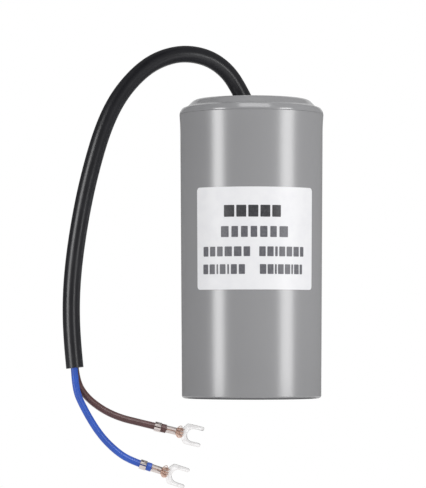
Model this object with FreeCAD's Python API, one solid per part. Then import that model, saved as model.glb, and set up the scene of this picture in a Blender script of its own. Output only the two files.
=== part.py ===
"""Motor run capacitor: a moulded round case with a raised lid, a wrapped film winding potted
inside it, and a two core cable that arches out of the lid and hangs down beside the case.

Each piece is written to parts/ as its own STEP file. Lengths are in millimetres, +Z is up and
the case stands upright. The origin is on the case's axis, halfway up the clamp band that holds
the case, so the base lies below it.
"""

import FreeCAD
import Part

import math
import os

Vector = FreeCAD.Vector

# Overall form of the case and its lid
overall_height = 104.0
band_height = 20.0
lip_radius = 25.0
lip_flare = 0.3
flare_height = 5.7
wall_draft = 0.6
bottom_edge_radius = 1.0
case_wall = 1.8
case_floor = 2.0

# The lid: a round shoulder that rises from the seam to a crisp edge, a land that rises inwards as
# a cone, a slightly crowned disc on it, and a spigot that plugs the case
lid_height = 5.8
lid_wall = 2.0
shoulder_radius = 3.5
shoulder_start = 6.4
shoulder_stop = 48.0
shoulder_fall = 20.0
disc_inset = 3.1
disc_flank = 50.0
disc_edge_radius = 2.8
crown_rise = 0.58
spigot_depth = 3.0
spigot_wall = 1.6
seam_gap = 0.05

# Clearance between pieces that fit into each other
fit = 0.05

# The winding: film rolled on a tube, wrapped, with sprayed metal on both ends
winding_bottom = 8.0
winding_head_room = 24.0
resin_wall = 2.1
core_tube_radius = 5.0
core_tube_bore = 3.2
core_tube_stand = 0.4
wrap_thickness = 0.3
wrap_stand = 1.6
spray_thickness = 0.6
solder_radius = 2.5
solder_height = 2.8
solder_inset = 7.8
solder_share = 0.7

# Potting resin stops this far under the rim of the case
resin_depth = 6.2

# The paper label and its plain print
label_width = 45.0
label_height = 34.8
label_bottom = 37.2
label_turn = 3.2
label_thickness = 0.15
label_corner = 1.2
label_gap = 0.03
print_thickness = 0.05

# Cable, cores and conductors
cable_radius = 2.9
core_radius = 1.175
core_offset = 1.25
conductor_radius = 0.55
socket_depth = 2.6
lead_bend = 2.9

# Fork terminals, measured along the wire from the start of the insulation grip
grip_length = 2.2
grip_wall = 0.45
grip_seam = 0.5
band_length = 1.5
barrel_length = 3.6
barrel_half_width = 1.2
lobe_radius = 0.58
lobe_rise = 0.35
barrel_corner = 0.6
strip_half_width = 0.8
brush_length = 2.8
brush_half_width = 2.0
terminal_length = 16.3
fork_width = 6.9
slot_width = 4.3
slot_depth = 5.2
sheet = 0.5
neck_half_width = 1.3
neck_length = 1.6

# Routes of the free cable and its two cores, from the lid outwards, with their heights measured
# from the lid's top
cable_points = [
    (1.7, 0.4, -16.0),
    (1.0, 0.3, -8.0),
    (-4.0, -1.0, 2.7),
    (-8.4, -2.5, 9.4),
    (-15.0, -4.9, 13.8),
    (-23.5, -8.2, 15.0),
    (-31.6, -12.2, 12.6),
    (-38.4, -16.2, 7.7),
    (-45.3, -20.4, -0.8),
    (-50.2, -24.4, -11.3),
    (-54.1, -28.2, -25.0),
    (-57.3, -31.0, -39.8),
    (-59.7, -33.4, -56.0),
    (-60.7, -35.0, -69.5),
    (-60.4, -35.8, -82.8),
    (-59.3, -36.2, -93.1),
]
blue_points = [
    (-59.5, -37.4, -90.5),
    (-59.3, -37.6, -99.5),
    (-56.4, -38.0, -106.2),
    (-51.4, -38.2, -114.6),
    (-46.1, -38.4, -120.2),
    (-40.6, -38.5, -123.9),
    (-34.0, -38.5, -126.0),
]
brown_points = [
    (-59.5, -34.9, -90.5),
    (-59.0, -35.0, -97.0),
    (-56.0, -34.9, -102.4),
    (-50.7, -34.6, -106.7),
    (-44.8, -34.3, -109.6),
    (-37.6, -34.0, -111.4),
    (-29.2, -34.0, -113.4),
]

# Radii that follow from the case's lip
top_radius = lip_radius - lip_flare
base_radius = top_radius - wall_draft
disc_radius = lip_radius - disc_inset
winding_radius = base_radius - case_wall - resin_wall - wrap_thickness - 2 * fit
solder_reach = winding_radius - solder_inset

# Heights that the pieces share
base_z = -band_height
top_z = base_z + overall_height
seam_z = top_z - lid_height
flare_z = seam_z - flare_height
floor_z = base_z + case_floor
resin_top = seam_z - resin_depth
winding_low = base_z + winding_bottom
winding_high = top_z - winding_head_room
spray_low = winding_low - spray_thickness
spray_high = winding_high + spray_thickness

UP = Vector(0, 0, 1)
FRONT = Vector(0, -1, 0)

cable_route = [Vector(x, y, top_z + z) for x, y, z in cable_points]
blue_route = [Vector(x, y, top_z + z) for x, y, z in blue_points]
brown_route = [Vector(x, y, top_z + z) for x, y, z in brown_points]


def save(shape, name):
    """Write one named piece and print its volume."""
    shape.exportStep("parts/" + name + ".step")
    print(name, "volume mm3:", round(shape.Volume, 2), "solids:", len(shape.Solids))
    if not shape.isValid():
        print(name, "is not a valid shape")


def revolve(edges, angle=360.0):
    """Turn a closed outline, drawn in the XZ plane, about the Z axis."""
    face = Part.Face(Part.Wire([edge.toShape() for edge in edges]))
    return face.revolve(Vector(0, 0, 0), UP, angle)


def outline(points):
    """Straight edges through (radius, height) pairs, closed."""
    corners = [Vector(radius, 0, height) for radius, height in points]
    return [Part.LineSegment(a, b) for a, b in zip(corners, corners[1:] + corners[:1])]


def ring(inner, outer, low, high):
    """A plain ring about the Z axis."""
    return revolve(outline([(inner, low), (outer, low), (outer, high), (inner, high)]))


def wall_radius(height):
    """Outer radius of the drafted wall at a height in the part's frame."""
    share = (height - base_z) / (flare_z - base_z)
    return base_radius + (top_radius - base_radius) * share


def rounded_path(points, name=None):
    """Straight runs joined by tangent arcs, each as large as its two runs allow."""
    edges = []
    radii = []
    start = points[0]
    for before, corner, after in zip(points, points[1:], points[2:]):
        run_in = corner - before
        run_out = after - corner
        half_turn = run_in.getAngle(run_out) / 2
        reach = 0.45 * min(run_in.Length, run_out.Length)
        radius = reach / math.tan(half_turn)
        way_in = Vector(run_in).normalize()
        way_out = Vector(run_out).normalize()
        inward = (way_out - way_in).normalize()
        arc_start = corner - way_in * reach
        arc_end = corner + way_out * reach
        arc_middle = corner + inward * (radius / math.cos(half_turn) - radius)
        edges.append(Part.LineSegment(start, arc_start).toShape())
        edges.append(Part.Arc(arc_start, arc_middle, arc_end).toShape())
        radii.append(round(radius, 1))
        start = arc_end
    edges.append(Part.LineSegment(start, points[-1]).toShape())
    if name:
        print(name, "bend radii mm:", radii)
    return Part.Wire(edges)


def tube(points, radius, name=None):
    """A round rod along a rounded path."""
    path = rounded_path(points, name)
    direction = points[1] - points[0]
    profile = Part.Wire(Part.Circle(points[0], direction, radius).toShape())
    rod = path.makePipeShell([profile], True, False)
    if name:
        share = rod.Volume / (math.pi * radius ** 2 * path.Length)
        print(name, "length mm:", round(path.Length, 1), "volume share:", round(share, 4))
    return rod


def make_case():
    """A moulded cup with a drafted wall, a slightly flared mouth and a rounded bottom edge."""
    foot = wall_radius(base_z + bottom_edge_radius)
    edge_turn = bottom_edge_radius * math.sqrt(0.5)
    flare_middle = (flare_z + seam_z) / 2
    middle_radius = top_radius + (lip_radius - top_radius) * 0.35
    p0 = Vector(0, 0, base_z)
    p1 = Vector(foot - bottom_edge_radius, 0, base_z)
    bend = Vector(foot - bottom_edge_radius + edge_turn, 0, base_z + bottom_edge_radius - edge_turn)
    p2 = Vector(foot, 0, base_z + bottom_edge_radius)
    p3 = Vector(top_radius, 0, flare_z)
    p4 = Vector(lip_radius, 0, seam_z)
    p5 = Vector(top_radius - case_wall, 0, seam_z)
    p6 = Vector(top_radius - case_wall, 0, flare_z)
    p7 = Vector(wall_radius(floor_z) - case_wall, 0, floor_z)
    p8 = Vector(0, 0, floor_z)
    return revolve([
        Part.LineSegment(p0, p1),
        Part.Arc(p1, bend, p2),
        Part.LineSegment(p2, p3),
        Part.Arc(p3, Vector(middle_radius, 0, flare_middle), p4),
        Part.LineSegment(p4, p5),
        Part.LineSegment(p5, p6),
        Part.LineSegment(p6, p7),
        Part.LineSegment(p7, p8),
        Part.LineSegment(p8, p0),
    ])


def cable_at(height):
    """Where the cable's centreline passes a height inside the lid."""
    low = cable_route[1]
    high = cable_route[2]
    return low + (high - low) * ((height - low.z) / (high.z - low.z))


def make_lid():
    """The plug that closes the case: spigot, conical shoulder and crowned disc in one piece."""
    seat = seam_z + seam_gap
    fall = math.radians(shoulder_fall)
    spigot_radius = top_radius - case_wall - fit

    # The round shoulder, which stops short of the cone's slope and so leaves a crisp edge
    low_turn = math.radians(shoulder_start)
    high_turn = math.radians(shoulder_stop)
    half_turn = (low_turn + high_turn) / 2
    corner = Vector(lip_radius - shoulder_radius, 0, seat - shoulder_radius * math.sin(low_turn))
    corner_low = corner + Vector(math.cos(low_turn), 0, math.sin(low_turn)) * shoulder_radius
    corner_middle = corner + Vector(math.cos(half_turn), 0, math.sin(half_turn)) * shoulder_radius
    corner_top = corner + Vector(math.cos(high_turn), 0, math.sin(high_turn)) * shoulder_radius
    foot = Vector(disc_radius, 0, corner_top.z + (corner_top.x - disc_radius) * math.tan(fall))

    # The disc's slanting flank, and the round edge that it touches
    flank = math.radians(disc_flank)
    edge_z = top_z - crown_rise - disc_edge_radius
    edge_x = foot.x - (disc_edge_radius + (edge_z - foot.z) * math.cos(flank)) / math.sin(flank)
    flank_top = Vector(edge_x, 0, edge_z) + Vector(math.sin(flank), 0, math.cos(flank)) * disc_edge_radius

    # The crown is one large arc that touches the disc's round edge
    depth = crown_rise + disc_edge_radius
    crown_radius = (edge_x ** 2 + depth ** 2 - disc_edge_radius ** 2) / (2 * crown_rise)
    crown_turn = math.asin(edge_x / (crown_radius - disc_edge_radius))

    def on_crown(angle):
        return Vector(crown_radius * math.sin(angle), 0, top_z - crown_radius * (1 - math.cos(angle)))

    edge_turn = (crown_turn + flank) / 2
    edge_way = Vector(math.sin(edge_turn), 0, math.cos(edge_turn))
    edge_middle = Vector(edge_x, 0, edge_z) + edge_way * disc_edge_radius

    cavity_radius = disc_radius - 1.5 * lid_wall
    inner = outline([
        (corner_low.x, seat),
        (spigot_radius, seat),
        (spigot_radius, seam_z - spigot_depth),
        (spigot_radius - spigot_wall, seam_z - spigot_depth),
        (spigot_radius - spigot_wall, foot.z - lid_wall),
        (cavity_radius, foot.z - lid_wall),
        (cavity_radius, top_z - lid_wall),
        (0, top_z - lid_wall),
    ])[:-1]
    body = revolve([
        Part.Arc(on_crown(0), on_crown(crown_turn / 2), on_crown(crown_turn)),
        Part.Arc(on_crown(crown_turn), edge_middle, flank_top),
        Part.LineSegment(flank_top, foot),
        Part.LineSegment(foot, corner_top),
        Part.Arc(corner_top, corner_middle, corner_low),
    ] + inner + [
        Part.LineSegment(Vector(0, 0, top_z - lid_wall), Vector(0, 0, top_z)),
    ])
    # The hole is upright and just wide enough for the cable that leans through it
    middle = cable_at(top_z - lid_wall / 2)
    lean = (cable_route[2] - cable_route[1]).getAngle(UP)
    hole_radius = cable_radius / math.cos(lean) + lid_wall / 2 * math.tan(lean) + fit
    hole = Part.makeCylinder(hole_radius, 2 * lid_wall, Vector(middle.x, middle.y, top_z - 1.5 * lid_wall))
    return body.cut(hole)


def lead_paths():
    """Routes of the two insulated leads from the cable's inner end to the winding's ends."""
    inward = (cable_route[0] - cable_route[1]).normalize()
    end = cable_route[0] + inward * fit
    top_level = spray_high + solder_height * solder_share
    low_level = spray_low - solder_height * solder_share
    turn_high = spray_high + core_tube_stand + lead_bend
    bare = solder_reach - solder_radius
    blue_start = end + FRONT * core_offset
    blue_turn = blue_start + inward * ((blue_start.z - turn_high) / -inward.z)
    blue = [
        blue_start,
        blue_turn,
        Vector(blue_turn.x, (blue_turn.y - bare) / 2, top_level),
        Vector(blue_turn.x, -bare, top_level),
    ]
    brown_start = end - FRONT * core_offset
    brown = [
        brown_start,
        brown_start + inward * ((brown_start.z - turn_high) / -inward.z),
        Vector(0, 0, turn_high - 2 * lead_bend),
        Vector(0, 0, low_level),
        Vector(bare, 0, low_level),
    ]
    return blue, brown


def lead_end(points, radius):
    """The bare end of a lead: a straight rod from the insulation's end to past the solder's middle."""
    direction = (points[-1] - points[-2]).normalize()
    return Part.makeCylinder(radius, solder_radius * 1.6, points[-1], direction)


def solder_dome(centre, up, grow=0.0):
    """A joint of solder on the sprayed metal, with a rounded crown."""
    dome = Part.makeCylinder(solder_radius + grow, solder_height + grow, centre, up)
    crown = max(dome.Edges, key=lambda edge: edge.CenterOfMass.dot(up))
    return dome.makeFillet(1.0, [crown])


def make_resin(leads, domes):
    """Resin cast round the winding, with room for the leads, the solder and the cable's end."""
    bottom = floor_z + fit
    body = revolve(outline([
        (0, bottom),
        (wall_radius(bottom) - case_wall - fit, bottom),
        (wall_radius(resin_top) - case_wall - fit, resin_top),
        (0, resin_top),
    ]))
    low = winding_low - wrap_stand - fit
    high = winding_high + wrap_stand + fit
    roll_radius = winding_radius + wrap_thickness + 2 * fit
    body = body.cut(Part.makeCylinder(roll_radius, high - low, Vector(0, 0, low)))
    for points in leads:
        body = body.cut(tube(points, core_radius + fit))
        body = body.cut(lead_end(points, conductor_radius + fit))
    for centre, up in domes:
        body = body.cut(solder_dome(centre, up, fit))
    cable_way = cable_route[1] - cable_route[0]
    body = body.cut(Part.makeCylinder(cable_radius + fit, 2 * cable_way.Length, cable_route[0], cable_way))
    return body


def wrapped_patch(low, high, left, right, gap, thickness):
    """A thin patch that follows the drafted wall, from one arc length to another."""
    near_low = wall_radius(low) + gap
    near_high = wall_radius(high) + gap
    middle = (near_low + near_high) / 2
    start = math.degrees(left / middle)
    turn = math.degrees((right - left) / middle)
    patch = revolve(outline([
        (near_low, low),
        (near_low + thickness, low),
        (near_high + thickness, high),
        (near_high, high),
    ]), turn)
    patch.rotate(Vector(0, 0, 0), UP, start - 90 + label_turn)
    return patch


def make_label():
    """The paper label with rounded corners."""
    low = base_z + label_bottom
    half = label_width / 2
    patch = wrapped_patch(low, low + label_height, -half, half, label_gap, label_thickness)
    corners = [edge for edge in patch.Edges if edge.Length < 2 * label_thickness]
    return patch.makeFillet(label_corner, corners)


# Rows of the label's plain print: height of the row's middle over the label's bottom, height of
# the blocks, where the row starts from the label's middle, widths of the blocks and the gap
print_rows = [
    (26.6, 4.0, -11.3, [3.7, 3.4, 3.4, 3.4, 3.1], 0.7),
    (19.6, 3.7, -12.4, [2.8, 2.3, 2.3, 2.2, 2.5, 2.3, 3.2], 1.0),
    (12.9, 3.3, -19.5, [2.1, 2.1, 2.1, 2.6, 2.6, 2.2], 0.72),
    (12.9, 3.3, 0.9, [2.2, 2.2, 0.9, 2.2, 2.2, 2.3, 1.6], 0.57),
    (6.9, 3.3, -19.6, [2.1, 2.1, 0.6, 2.1, 0.6, 2.1, 2.1], 0.66),
    (6.9, 3.3, 1.1, [2.2, 2.1, 0.7, 2.1, 2.1, 0.7, 2.0, 1.1], 0.45),
]


def make_print():
    """Rows of plain blocks, one solid each, on the label."""
    blocks = []
    gap_under = 2 * label_gap + label_thickness
    for middle, tall, start, widths, gap in print_rows:
        low = base_z + label_bottom + middle - tall / 2
        left = start
        for width in widths:
            blocks.append(wrapped_patch(
                low, low + tall, left, left + width, gap_under, print_thickness,
            ))
            left += width + gap
    return Part.makeCompound(blocks)


def terminal_frame(route):
    """Origin at the start of the insulation grip, and the ways along, across and towards the front."""
    along = (route[-1] - route[-2]).normalize()
    front = (FRONT - along * FRONT.dot(along)).normalize()
    across = front.cross(along).normalize()
    if across.z < 0:
        across = -across
    origin = route[-1] - along * (grip_length + band_length)
    return origin, along, across, front


def placed(shape, route):
    """Put a shape drawn along X, across Y and front Z at the end of a core."""
    origin, along, across, front = terminal_frame(route)
    side = front.cross(along)
    turn = FreeCAD.Matrix(
        along.x, side.x, front.x, origin.x,
        along.y, side.y, front.y, origin.y,
        along.z, side.z, front.z, origin.z,
        0, 0, 0, 1,
    )
    moved = shape.copy()
    moved.Placement = FreeCAD.Placement(turn)
    return moved


def make_terminal():
    """A fork terminal of folded sheet, drawn along X with its wire on the X axis and its front up."""
    grip_bore = core_radius + fit / 2
    grip_outer = grip_bore + grip_wall
    barrel_start = grip_length + band_length
    barrel_end = barrel_start + barrel_length
    wire_bore = conductor_radius + fit / 2
    along = Vector(1, 0, 0)

    grip = Part.makeCylinder(grip_outer, grip_length, Vector(0, 0, 0), along)
    grip = grip.cut(Part.makeCylinder(grip_bore, grip_length, Vector(0, 0, 0), along))
    seam = Part.makeBox(grip_length, grip_seam, grip_outer * 2, Vector(0, -grip_seam / 2, 0))
    grip = grip.cut(seam)

    # The strip behind the bare band joins the grip to the barrel
    strip_reach = sheet
    strip_start = grip_length - strip_reach
    strip_back = -(grip_bore + grip_wall)
    strip = Part.makeBox(
        band_length + 2 * strip_reach, 2 * strip_half_width, -core_radius - fit - strip_back,
        Vector(strip_start, -strip_half_width, strip_back),
    )

    barrel = Part.makeBox(
        barrel_length, 2 * barrel_half_width, lobe_rise - strip_back,
        Vector(barrel_start, -barrel_half_width, strip_back),
    )
    edges = [e for e in barrel.Edges if abs(e.Length - barrel_length) < 1e-6 and e.CenterOfMass.z < 0]
    barrel = barrel.makeFillet(barrel_corner, edges)
    for side in (-1, 1):
        lobe_start = Vector(barrel_start, side * (barrel_half_width - lobe_radius), lobe_rise)
        barrel = barrel.fuse(Part.makeCylinder(lobe_radius, barrel_length, lobe_start, along))
    barrel = barrel.cut(Part.makeCylinder(wire_bore, barrel_length, Vector(barrel_start, 0, 0), along))

    fork = make_fork(barrel_end - sheet, strip_back)
    return grip.fuse([strip, barrel, fork]).removeSplitter()


def make_fork(start, back):
    """The flat fork: a neck that widens at both sides, and two prongs round a slot."""
    half = fork_width / 2
    slot_half = slot_width / 2
    prong = half - slot_half
    neck_end = start + sheet + neck_length
    shoulder = neck_end + (half - neck_half_width) * 0.75
    tip_centre = terminal_length - prong / 2
    side = [
        Vector(start, neck_half_width, back),
        Vector(neck_end, neck_half_width, back),
        Vector(shoulder, half, back),
        Vector(tip_centre, half, back),
    ]
    mirror = [Vector(p.x, -p.y, p.z) for p in reversed(side)]
    slot_centre = terminal_length - slot_depth + slot_half
    tip_high = Vector(terminal_length, half - prong / 2, back)
    inner_high = Vector(tip_centre, slot_half, back)
    slot_high = Vector(slot_centre, slot_half, back)
    slot_bottom = Vector(slot_centre - slot_half, 0, back)
    slot_low = Vector(slot_centre, -slot_half, back)
    inner_low = Vector(tip_centre, -slot_half, back)
    tip_low = Vector(terminal_length, -(half - prong / 2), back)
    edges = [Part.LineSegment(a, b).toShape() for a, b in zip(side, side[1:])]
    edges.append(Part.Arc(side[-1], tip_high, inner_high).toShape())
    edges.append(Part.LineSegment(inner_high, slot_high).toShape())
    edges.append(Part.Arc(slot_high, slot_bottom, slot_low).toShape())
    edges.append(Part.LineSegment(slot_low, inner_low).toShape())
    edges.append(Part.Arc(inner_low, tip_low, mirror[0]).toShape())
    edges += [Part.LineSegment(a, b).toShape() for a, b in zip(mirror, mirror[1:])]
    edges.append(Part.LineSegment(mirror[-1], side[0]).toShape())
    return Part.Face(Part.Wire(edges)).extrude(Vector(0, 0, sheet))


def make_strands():
    """Bare copper from the insulation's end through the barrel, spread to a brush beyond it."""
    start = grip_length + band_length
    barrel_end = start + barrel_length
    along = Vector(1, 0, 0)
    rod = Part.makeCylinder(conductor_radius, barrel_length, Vector(start, 0, 0), along)
    low = -(core_radius + fit / 2 + grip_wall) + sheet + fit
    tall = conductor_radius - low
    outline_points = [
        Vector(barrel_end, -conductor_radius, low),
        Vector(barrel_end + brush_length * 0.7, -brush_half_width, low),
        Vector(barrel_end + brush_length, -brush_half_width * 0.6, low),
        Vector(barrel_end + brush_length, brush_half_width * 0.6, low),
        Vector(barrel_end + brush_length * 0.7, brush_half_width, low),
        Vector(barrel_end, conductor_radius, low),
    ]
    brush = Part.Face(Part.makePolygon(outline_points + outline_points[:1])).extrude(Vector(0, 0, tall))
    return rod.fuse(brush)


def make_cable():
    """The round sheath, with two sockets in its free end where the cores come out."""
    sheath = tube(cable_route, cable_radius, "cable_sheath")
    for route in (blue_route, brown_route):
        way = route[1] - route[0]
        sheath = sheath.cut(Part.makeCylinder(core_radius + fit / 2, socket_depth * 2, route[0], way))
    return sheath


def main():
    os.makedirs("parts", exist_ok=True)

    save(make_case(), "case")
    save(make_lid(), "lid")
    save(make_label(), "label")
    save(make_print(), "label_print")

    save(ring(core_tube_bore, core_tube_radius,
              spray_low - core_tube_stand, spray_high + core_tube_stand), "core_tube")
    save(ring(core_tube_radius + fit, winding_radius, winding_low, winding_high), "film_winding")
    save(ring(winding_radius + fit, winding_radius + fit + wrap_thickness,
              winding_low - wrap_stand, winding_high + wrap_stand), "outer_wrap")
    save(ring(core_tube_radius + fit, winding_radius, spray_low, winding_low), "end_spray_bottom")
    save(ring(core_tube_radius + fit, winding_radius, winding_high, spray_high), "end_spray_top")

    blue_lead, brown_lead = lead_paths()
    blue_dome = (Vector(blue_lead[-1].x, -solder_reach, spray_high), UP)
    brown_dome = (Vector(solder_reach, 0, spray_low), -UP)
    for name, points, dome in (("blue", blue_lead, blue_dome), ("brown", brown_lead, brown_dome)):
        save(tube(points, core_radius, name + "_inner_lead"), name + "_inner_lead")
        save(lead_end(points, conductor_radius), name + "_inner_strands")
        joint = solder_dome(*dome).cut(lead_end(points, conductor_radius + fit / 2))
        save(joint, "solder_top" if name == "blue" else "solder_bottom")
    save(make_resin((blue_lead, brown_lead), (blue_dome, brown_dome)), "potting_resin")

    save(make_cable(), "cable_sheath")
    for name, route in (("blue", blue_route), ("brown", brown_route)):
        save(tube(route, core_radius, name + "_core"), name + "_core")
        save(placed(make_strands(), route), name + "_strands")
        save(placed(make_terminal(), route), name + "_terminal")


main()
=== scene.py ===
# %% [markdown]
# # A motor run capacitor
# The part is a moulded grey can with a raised lid, a paper label, and a black two core cable that
# arches out of the lid and ends in a blue and a brown lead with crimped fork terminals. The packed
# CAD model is loaded first, because every new piece is fitted to it and replaces one of its nodes.

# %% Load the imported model
import math

import bpy
from mathutils import Matrix, Vector


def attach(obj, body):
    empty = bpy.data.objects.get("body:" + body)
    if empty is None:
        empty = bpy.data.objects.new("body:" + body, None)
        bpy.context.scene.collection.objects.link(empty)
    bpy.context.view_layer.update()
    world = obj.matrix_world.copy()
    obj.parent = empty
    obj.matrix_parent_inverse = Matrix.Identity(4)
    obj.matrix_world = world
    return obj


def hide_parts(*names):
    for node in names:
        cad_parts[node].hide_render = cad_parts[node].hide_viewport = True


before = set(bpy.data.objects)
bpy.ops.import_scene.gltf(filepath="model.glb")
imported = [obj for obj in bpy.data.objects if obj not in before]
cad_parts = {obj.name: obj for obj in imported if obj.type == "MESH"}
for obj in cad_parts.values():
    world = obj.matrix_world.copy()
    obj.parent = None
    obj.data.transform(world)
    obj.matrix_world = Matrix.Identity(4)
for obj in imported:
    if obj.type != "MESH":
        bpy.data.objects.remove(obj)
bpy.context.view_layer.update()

MM = 0.001
scene = bpy.context.scene


def in_mm(lengths):
    """Lengths in metres as rounded millimetres, for printing."""
    return [round(length / MM, 2) for length in lengths]


# %% [markdown]
# The camera stands where the photograph was taken from: almost a metre in front, level with the
# lower part of the can and pitched up by two degrees, with a long lens. A long lens keeps the can's
# sides nearly parallel. No lens shift is needed, because the pitch alone gives the framing.

# %% Set the camera
CAMERA_PLACE = (-0.01335, -0.920, 0.0015)
CAMERA_PITCH = 91.985
CAMERA_LENS = 195.8

bpy.ops.object.camera_add(location=CAMERA_PLACE, rotation=(math.radians(CAMERA_PITCH), 0, 0))
camera = bpy.context.object
camera.name = "camera"
camera.data.lens = CAMERA_LENS
scene.camera = camera
print("camera lens:", camera.data.lens)

# %% [markdown]
# Operators act on all that is selected, and loading the model leaves the whole of it selected. Two
# helpers keep that in hand: one selects a single piece, and one opens a piece for editing with only
# the wanted faces or vertices selected. They are picked by place or normal, never by number, so the
# choice stays right when a size changes. A third helper shades a piece smooth, as every moulded or
# drawn surface here is.

# %% Select what is worked on
def only(piece):
    """Selects one piece and nothing else."""
    bpy.ops.object.select_all(action="DESELECT")
    piece.select_set(True)
    bpy.context.view_layer.objects.active = piece


def edit_only(piece, kind, is_wanted):
    """Opens a piece for editing with only the wanted parts selected. kind is FACE or VERT."""
    only(piece)
    bpy.ops.object.mode_set(mode="EDIT")
    bpy.ops.mesh.select_mode(type=kind)
    bpy.ops.mesh.select_all(action="DESELECT")
    bpy.ops.object.mode_set(mode="OBJECT")
    parts = piece.data.polygons if kind == "FACE" else piece.data.vertices
    for part in parts:
        part.select = is_wanted(part)
    bpy.ops.object.mode_set(mode="EDIT")


def smooth(piece, degrees=35):
    """Smooth shading that leaves edges sharper than the angle crisp."""
    only(piece)
    bpy.ops.object.shade_smooth_by_angle(angle=math.radians(degrees))


print("helpers ready:", [helper.__name__ for helper in (only, edit_only, smooth)])

# %% [markdown]
# The cable and its two cores hang in soft, uneven bends. A mesh tube could be bent by hand, but a
# NURBS curve does it from a few points. The route's points are its control points, so it bends as
# evenly as a real cable does. They repeat the routes of the CAD model, in metres.

# %% Set the routes
CABLE_RADIUS = 0.0029
CORE_RADIUS = 0.001175

CABLE_ROUTE = [
    (0.0017, 0.0004, 0.0680), (0.0010, 0.0003, 0.0760), (-0.0040, -0.0010, 0.0867),
    (-0.0084, -0.0025, 0.0934), (-0.0150, -0.0049, 0.0978), (-0.0235, -0.0082, 0.0990),
    (-0.0316, -0.0122, 0.0966), (-0.0384, -0.0162, 0.0917), (-0.0453, -0.0204, 0.0832),
    (-0.0502, -0.0244, 0.0727), (-0.0541, -0.0282, 0.0590), (-0.0573, -0.0310, 0.0442),
    (-0.0597, -0.0334, 0.0280), (-0.0607, -0.0350, 0.0145), (-0.0604, -0.0358, 0.0012),
    (-0.0593, -0.0362, -0.0091),
]
BLUE_ROUTE = [
    (-0.0595, -0.0374, -0.0065), (-0.0593, -0.0376, -0.0155), (-0.0564, -0.0380, -0.0222),
    (-0.0514, -0.0382, -0.0306), (-0.0461, -0.0384, -0.0362), (-0.0406, -0.0385, -0.0399),
    (-0.0340, -0.0385, -0.0420),
]
BROWN_ROUTE = [
    (-0.0595, -0.0349, -0.0065), (-0.0590, -0.0350, -0.0130), (-0.0560, -0.0349, -0.0184),
    (-0.0507, -0.0346, -0.0227), (-0.0448, -0.0343, -0.0256), (-0.0376, -0.0340, -0.0274),
    (-0.0292, -0.0340, -0.0294),
]
print("route points:", [len(route) for route in (CABLE_ROUTE, BLUE_ROUTE, BROWN_ROUTE)])

# %% [markdown]
# Each route becomes one open spline. Its order is set after the points are there, because a spline
# with no points yet falls back to straight runs. The path that the spline really follows is read
# back from it, since the cut end and the terminals have to sit on that path.

# %% Draw the lines
def add_spline(curve, route):
    """Adds one open NURBS spline to a curve."""
    spline = curve.splines.new("NURBS")
    spline.points.add(len(route) - 1)
    for point, place in zip(spline.points, route):
        point.co = (*place, 1)
    spline.order_u = 3
    spline.use_endpoint_u = True


def nurbs_line(name, route):
    """One open NURBS line with the route's points as its control points."""
    curve = bpy.data.curves.new(name, "CURVE")
    curve.dimensions = "3D"
    curve.resolution_u = 20
    add_spline(curve, route)
    line = bpy.data.objects.new(name, curve)
    scene.collection.objects.link(line)
    return line


def line_points(line):
    """The points that the line really follows, read from its spline."""
    mesh = bpy.data.meshes.new_from_object(line)
    points = [vertex.co.copy() for vertex in mesh.vertices]
    bpy.data.meshes.remove(mesh)
    return points


def end_way(path):
    """The direction in which a path ends."""
    return (path[-1] - path[-2]).normalized()


sheath = nurbs_line("sheath", CABLE_ROUTE)
blue_core = nurbs_line("blue_core_lead", BLUE_ROUTE)
brown_core = nurbs_line("brown_core_lead", BROWN_ROUTE)
cable_path = line_points(sheath)
blue_path = line_points(blue_core)
brown_path = line_points(brown_core)
for name, path in (("cable", cable_path), ("blue", blue_path), ("brown", brown_path)):
    length = sum((b - a).length for a, b in zip(path, path[1:]))
    print(name, "length mm:", round(length / MM, 1), "points:", len(path))

# %% [markdown]
# The sheath is a soft plastic tube, cut square where the cores come out. The line gets a round
# section and becomes a mesh. The flat face at its free end is then inset and pushed in, which
# leaves a wall and a socket for the two cores to come out of, as on the real cut end. Two narrow
# insets break the rim's edges, because a knife never leaves them perfectly sharp.

# %% Model the sheath
SHEATH_WALL = 0.0005
SOCKET_DEPTH = 0.0026
RIM_OUTER = 0.00012
RIM_RISE = 0.00008
RIM_INNER = 0.0001
TOUCHING = 0.000002


def round_rod(line, radius, smoothness):
    """Gives the line a round, closed section and makes it a mesh."""
    line.data.bevel_depth = radius
    line.data.bevel_resolution = smoothness
    line.data.use_fill_caps = True
    only(line)
    bpy.ops.object.convert(target="MESH")
    rod = bpy.context.object
    bpy.ops.object.mode_set(mode="EDIT")
    bpy.ops.mesh.select_all(action="SELECT")
    bpy.ops.mesh.remove_doubles(threshold=TOUCHING)
    bpy.ops.mesh.normals_make_consistent(inside=False)
    bpy.ops.object.mode_set(mode="OBJECT")
    smooth(rod)
    return rod


sheath = round_rod(sheath, CABLE_RADIUS, 8)
cut_place = cable_path[-1]
cut_way = end_way(cable_path)


def is_cut_face(face):
    """The caps are the only faces with more than four corners, and this one is at the free end."""
    return len(face.vertices) > 4 and (face.center - cut_place).length < CABLE_RADIUS


edit_only(sheath, "FACE", is_cut_face)
bpy.ops.mesh.inset(thickness=RIM_OUTER)
bpy.ops.transform.translate(value=cut_way * RIM_RISE)
bpy.ops.mesh.inset(thickness=SHEATH_WALL - RIM_OUTER - RIM_INNER)
bpy.ops.mesh.inset(thickness=RIM_INNER)
bpy.ops.transform.translate(value=-cut_way * RIM_INNER)
bpy.ops.mesh.extrude_region_move(TRANSFORM_OT_translate={"value": -cut_way * SOCKET_DEPTH})
bpy.ops.object.mode_set(mode="OBJECT")
smooth(sheath)
print("sheath faces:", len(sheath.data.polygons), "sizes mm:", in_mm(sheath.dimensions))

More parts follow.
